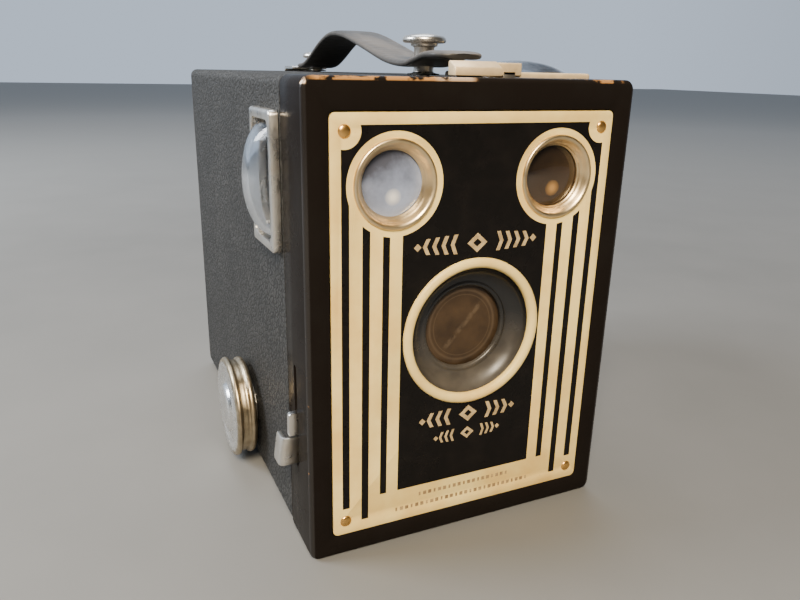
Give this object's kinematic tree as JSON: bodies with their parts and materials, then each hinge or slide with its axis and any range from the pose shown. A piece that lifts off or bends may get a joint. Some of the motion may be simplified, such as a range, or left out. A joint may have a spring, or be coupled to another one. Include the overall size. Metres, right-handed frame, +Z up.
{
  "type": "box camera",
  "caption": "Box roll-film camera with a striped metal faceplate, two domed reflex finders, side winding knob, hinged back and an arched leather carrying strap.",
  "frame": {"origin": "middle of the flat base, between the front and the back of the case", "axes": "+Z up, the taking lens looks along -Y, +X is to the right as seen from the front"},
  "size_m": [0.084, 0.1242, 0.1137],
  "materials": {
    "black_enamel": "glossy black baking enamel, worn at the edges",
    "inner_black": "dull black japanned sheet",
    "leatherette": "fine pebble-grained leatherette, matte",
    "cream_enamel": "cream and black enamelled metal, satin",
    "brass": "worn lacquered brass",
    "nickel": "worn nickel plating",
    "steel": "bare steel",
    "clear_glass": "clear, slightly dusty",
    "dusty_glass": "dusty brown-looking front glass",
    "mirror": "silvered",
    "red_glass": "ruby film window",
    "strap_leather": "worn black leather"
  },
  "bodies": {
    "case": {"front_cover": "black_enamel", "lens_cone": "black_enamel", "body_shell": "inner_black", "light_cone": "inner_black", "film_gate": "inner_black", "finder_bracket_left": "inner_black", "finder_bracket_right": "inner_black", "shutter_plate": "inner_black", "side_leatherette": "leatherette", "bottom_leatherette": "leatherette", "faceplate": "cream_enamel", "lens_rim": "cream_enamel", "nail_upper_left": "brass", "nail_upper_right": "brass", "nail_lower_left": "brass", "nail_lower_right": "brass", "finder_bezel_left": "brass", "finder_bezel_right": "brass", "finder_frame_side": "nickel", "finder_frame_top": "nickel", "strap_stud_front": "nickel", "strap_stud_rear": "nickel", "knob_bushing": "nickel", "carrier_plate_left": "steel", "carrier_plate_right": "steel", "supply_pin_left": "steel", "supply_pin_right": "steel", "takeup_pin": "steel", "lens_cell": "steel", "lever_pivot": "steel", "disc_pivot": "steel", "body_hinge_leaf": "steel", "hinge_pin": "steel", "finder_lens_left": "clear_glass", "finder_lens_right": "clear_glass", "finder_window_side": "clear_glass", "finder_window_top": "clear_glass", "meniscus_lens": "clear_glass", "front_glass": "dusty_glass", "finder_mirror_left": "mirror", "finder_mirror_right": "mirror", "strap": "strap_leather"},
    "door": {"back_door": "inner_black", "door_leatherette": "leatherette", "red_window": "red_glass", "window_eyelet": "brass", "door_hinge_leaf": "steel", "latch_bracket": "nickel"},
    "latch": {"door_latch": "nickel"},
    "knob_slide": {"knob_collar": "steel"},
    "knob": {"winding_knob": "nickel", "winding_shaft": "steel"},
    "spool": {"takeup_spool": "inner_black"},
    "lower_roller": {"film_roller_lower": "nickel"},
    "upper_roller": {"film_roller_upper": "nickel"},
    "lever": {"release_lever": "nickel", "shutter_spring": "steel"},
    "shutter": {"shutter_disc": "inner_black"},
    "aperture": {"aperture_slide": "nickel"},
    "time_stop": {"time_slide": "nickel"}
  },
  "joints": [
    {"name": "door_hinge", "type": "hinge", "parent": "case", "child": "door", "pos_m": [0, 0.06095, 0.0015], "axis": [-1, 0, 0], "range_deg": [0, 90]},
    {"name": "latch_hinge", "type": "hinge", "parent": "door", "child": "latch", "pos_m": [0, 0.06175, 0.0984], "axis": [-1, 0, 0], "range_deg": [0, 70]},
    {"name": "knob_pull", "type": "slide", "parent": "case", "child": "knob_slide", "axis": [-1, 0, 0], "range_m": [0, 0.0065]},
    {"name": "knob_spin", "type": "hinge", "parent": "knob_slide", "child": "knob", "pos_m": [-0.038, -0.00835, 0.0153], "axis": [1, 0, 0], "continuous": true},
    {"name": "takeup_spin", "type": "hinge", "parent": "case", "child": "spool", "pos_m": [0, -0.00835, 0.0153], "axis": [1, 0, 0], "continuous": true},
    {"name": "lower_roller_spin", "type": "hinge", "parent": "case", "child": "lower_roller", "pos_m": [0, 0.04715, 0.0043], "axis": [1, 0, 0], "continuous": true},
    {"name": "upper_roller_spin", "type": "hinge", "parent": "case", "child": "upper_roller", "pos_m": [0, 0.04715, 0.0939], "axis": [1, 0, 0], "continuous": true},
    {"name": "release_swing", "type": "hinge", "parent": "case", "child": "lever", "pos_m": [-0.014, -0.05185, 0.027], "axis": [0, 1, 0], "range_deg": [0, 24]},
    {"name": "shutter_turn", "type": "hinge", "parent": "case", "child": "shutter", "pos_m": [0.012, -0.0506, 0.038], "axis": [0, 1, 0], "range_deg": [0, 70]},
    {"name": "aperture_pull", "type": "slide", "parent": "case", "child": "aperture", "axis": [0, 0, 1], "range_m": [0, 0.008]},
    {"name": "time_pull", "type": "slide", "parent": "case", "child": "time_stop", "axis": [0, 0, 1], "range_m": [0, 0.006]}
  ],
  "couplings": [
    {"joint": "takeup_spin", "follows": "knob_spin", "ratio": 1},
    {"joint": "shutter_turn", "follows": "release_swing", "ratio": 2.9}
  ]
}
